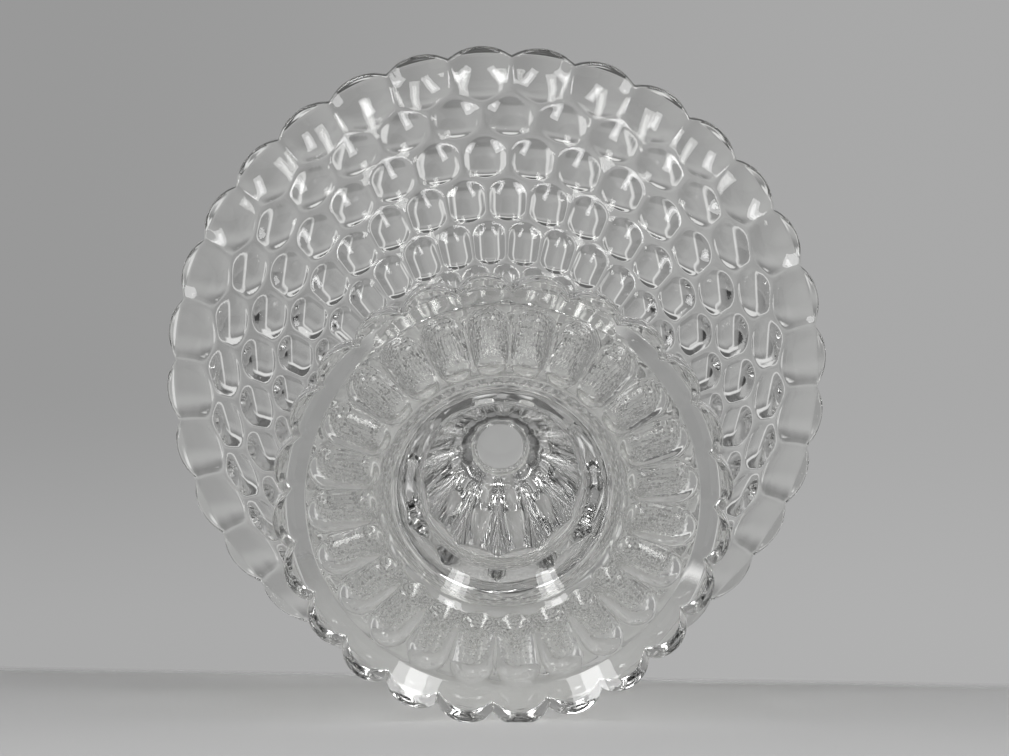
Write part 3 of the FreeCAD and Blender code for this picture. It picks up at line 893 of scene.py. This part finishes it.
def axes_of_view(look):
    """Camera's place, right, up and back directions in the bowl's frame.

    The axis of the bowl is off the line of sight by tilt and leans by lean. The middle of the standing
    rim is seen at the pixel (foot_x, foot_y) of the 1009 by 756 picture.
    """
    width, height, foot_x, foot_y = 1009, 756, 503.0, 504.5
    focal = look.lens / 36 * width
    axis = Vector((math.sin(look.lean), -math.sin(look.tilt) * math.cos(look.lean),
                   math.cos(look.tilt) * math.cos(look.lean)))
    up_picture = Vector((0, -1, 0))
    up_bowl = (up_picture - up_picture.dot(axis) * axis).normalized()
    side_bowl = axis.cross(up_bowl)
    seen = Matrix((up_bowl, side_bowl, axis)).transposed()
    cosine, sine = math.cos(look.up), math.sin(look.up)
    bowl = Matrix(((cosine, sine, 0), (-sine, cosine, 0), (0, 0, 1)))
    to_camera = seen @ bowl
    to_bowl = to_camera.transposed()
    foot = look.distance * Vector(((foot_x - width / 2) / focal, (foot_y - height / 2) / focal, 1))
    place = to_bowl @ -foot
    return place, to_bowl @ Vector((1, 0, 0)), to_bowl @ Vector((0, -1, 0)), to_bowl @ Vector((0, 0, -1))


def add_camera(look):
    place, right, up, back = axes_of_view(look)
    camera = bpy.data.cameras.new("photo_view")
    camera.lens = look.lens
    camera.sensor_width = 36
    camera.clip_end = 20
    holder = bpy.data.objects.new("photo_view", camera)
    turn = Matrix((right, up, back)).transposed()
    holder.matrix_world = Matrix.Translation(place) @ turn.to_4x4()
    bpy.context.scene.collection.objects.link(holder)
    bpy.context.scene.camera = holder


def add_sheet(name, corners, material):
    """A four-cornered stage sheet, its front where the corners run anticlockwise."""
    mesh = bpy.data.meshes.new(name)
    mesh.from_pydata([tuple(corner) for corner in corners], [], [(0, 1, 2, 3)])
    mesh.materials.append(material)
    sheet = bpy.data.objects.new(name, mesh)
    bpy.context.scene.collection.objects.link(sheet)


def add_lamp(name, place, target, width, height, power):
    """A rectangular white lamp that faces a target."""
    light = bpy.data.lights.new(name, "AREA")
    light.shape = "RECTANGLE"
    light.size, light.size_y = width, height
    light.energy = power
    holder = bpy.data.objects.new(name, light)
    holder.location = place
    holder.rotation_mode = "QUATERNION"
    holder.rotation_quaternion = (Vector(target) - Vector(place)).to_track_quat("-Z", "Y")
    bpy.context.scene.collection.objects.link(holder)


def room(look, right, high, below):
    """The room round the table, by direction: pale at the height of the bowl, with darker caps."""
    world = bpy.data.worlds.new("room")
    world.use_nodes = True
    nodes, links = world.node_tree.nodes, world.node_tree.links
    place = nodes.new("ShaderNodeTexCoord")
    upright = Vector((0, 0, 1))
    caps = [band(upright, 0, CEILING_CAP, look.ceiling_grey), band(-upright, 0, FLOOR_CAP, look.room_grey),
            band(below, 0, BELOW_CAP, look.room_grey), band(high, 0, HIGH_CAP, look.dark_grey),
            band(right, 0, SIDE_CAP, look.dark_grey), band(-right, 0, SIDE_CAP, look.dark_grey)]
    colour = patched_grey(nodes, links, place.outputs["Generated"], look.wall_grey, caps)
    links.new(colour, nodes["Background"].inputs["Color"])
    return world


def farthest(name, direction):
    """The point of a piece farthest along a direction, as (distance along it, height)."""
    mesh = bpy.data.objects[name].data
    points = np.empty(len(mesh.vertices) * 3)
    mesh.vertices.foreach_get("co", points)
    points = points.reshape(-1, 3)
    along = points @ np.array(direction)
    best = along.argmax()
    return float(along[best]), float(points[best, 2])


class GLASSBOWL_OT_pedestal(bpy.types.Operator):
    """Make the foot and stem"""
    bl_idname = "glassbowl.pedestal"
    bl_label = "Pedestal"

    def execute(self, context):
        points, joints, _ = pedestal_points(context.scene.pedestal_sizes, STEM_TOP)
        piece = ring_mesh("pressed_pedestal", points, joints)
        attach(piece, "root")
        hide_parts("pedestal")
        return {"FINISHED"}


class GLASSBOWL_OT_wafer(bpy.types.Operator):
    """Make the disc that joins bowl and stem"""
    bl_idname = "glassbowl.wafer"
    bl_label = "Joining wafer"

    def execute(self, context):
        stem_line = pedestal_points(context.scene.pedestal_sizes, STEM_TOP)[2]
        points, joints = wafer_points(context.scene.wafer_sizes, stem_line, STEM_TOP, BOWL_BASE)
        piece = ring_mesh("fused_wafer", points, joints)
        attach(piece, "root")
        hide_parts("joining_wafer")
        return {"FINISHED"}


class GLASSBOWL_OT_bowl(bpy.types.Operator):
    """Make the bowl"""
    bl_idname = "glassbowl.bowl"
    bl_label = "Bowl"

    def execute(self, context):
        wafer = context.scene.wafer_sizes
        points, joints = bowl_points(context.scene.bowl_sizes, wafer.radius - wafer.rounding)
        piece = ring_mesh("pressed_bowl", points, joints)
        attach(piece, "root")
        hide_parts("bowl")
        return {"FINISHED"}


class GLASSBOWL_OT_stage(bpy.types.Operator):
    """Make the camera, table, backdrop and lights"""
    bl_idname = "glassbowl.stage"
    bl_label = "Stage"

    def execute(self, context):
        look = context.scene.stage_look
        add_camera(look)
        right = axes_of_view(look)[1]
        down = Vector((-math.cos(look.up), -math.sin(look.up), 0))
        across = Vector((0, 0, 1)).cross(down)
        axis = Vector((0, 0, 1))
        foot_out, foot_z = farthest("pressed_pedestal", down)
        rim_out, rim_z = farthest("pressed_bowl", down)
        away = ((rim_out - foot_out) * down + (rim_z - foot_z) * axis).normalized()
        rest = foot_out * down + foot_z * axis
        rim = rim_out * down + rim_z * axis
        high = away.cross(across)
        right_side = right.dot(across)
        sideways = across * right_side
        towards_edge = away + sideways * math.tan(look.table_turn)
        table = table_material(look, towards_edge, towards_edge.dot(rim) + look.table_end)
        half_table, near_reach, far_reach = 2.5, 3.0, 1.0
        near, far = rest - away * near_reach, rim + away * far_reach
        add_sheet("table", [near + across * half_table, near - across * half_table,
                            far - across * half_table, far + across * half_table], table)
        on_wall = rim + away * look.backdrop_distance
        backdrop = backdrop_material(look, sideways, sideways.dot(on_wall), high, high.dot(on_wall))
        half_wall, wall_foot, wall_top = 1.6, -1.2, 2.2
        add_sheet("backdrop", [on_wall + across * half_wall + high * wall_foot,
                               on_wall - across * half_wall + high * wall_foot,
                               on_wall - across * half_wall + high * wall_top,
                               on_wall + across * half_wall + high * wall_top], backdrop)
        middle = Vector((0, 0, BOWL_BASE))
        for name, side in (("softbox_left", -right_side), ("softbox_right", right_side)):
            reach = across * side * math.sin(look.softbox_angle) - away * math.cos(look.softbox_angle)
            place_of_box = middle + reach * look.softbox_reach + high * look.softbox_rise
            core_power = look.softbox_power * look.core_share
            add_lamp(name, place_of_box, middle, look.core_width, look.core_height, core_power)
            add_lamp(name + "_edge", place_of_box, middle, look.softbox_width, look.softbox_height,
                     look.softbox_power - core_power)
        context.scene.world = room(look, sideways, high, (away - high).normalized())
        view = context.scene.view_settings
        view.view_transform = "Standard"
        cycles = context.scene.cycles
        cycles.max_bounces = 24
        cycles.transmission_bounces = 20
        cycles.glossy_bounces = 8
        cycles.transparent_max_bounces = 24
        return {"FINISHED"}


class GLASSBOWL_PT_panel(bpy.types.Panel):
    """Sizes and buttons for the glass bowl"""
    bl_label = "Glass Bowl"
    bl_idname = "GLASSBOWL_PT_panel"
    bl_space_type = "VIEW_3D"
    bl_region_type = "UI"
    bl_category = "Glass Bowl"

    def draw(self, context):
        for operator in OPERATORS:
            self.layout.operator(operator.bl_idname)
        for group in GROUPS:
            box = self.layout.box()
            for name in GROUPS[group].__annotations__:
                box.prop(getattr(context.scene, group), name)


OPERATORS = [GLASSBOWL_OT_pedestal, GLASSBOWL_OT_wafer, GLASSBOWL_OT_bowl, GLASSBOWL_OT_stage]
GROUPS = {"bowl_sizes": BowlSizes, "pedestal_sizes": PedestalSizes, "wafer_sizes": WaferSizes,
          "glass_look": GlassLook, "stage_look": StageLook}


def register():
    for group in GROUPS:
        bpy.utils.register_class(GROUPS[group])
        setattr(bpy.types.Scene, group, bpy.props.PointerProperty(type=GROUPS[group]))
    for part in OPERATORS + [GLASSBOWL_PT_panel]:
        bpy.utils.register_class(part)


def unregister():
    for part in reversed(OPERATORS + [GLASSBOWL_PT_panel]):
        bpy.utils.unregister_class(part)
    for group in GROUPS:
        delattr(bpy.types.Scene, group)
        bpy.utils.unregister_class(GROUPS[group])


def main():
    register()
    bpy.ops.glassbowl.pedestal()
    bpy.ops.glassbowl.wafer()
    bpy.ops.glassbowl.bowl()
    bpy.ops.glassbowl.stage()


if __name__ == "__main__":
    main()
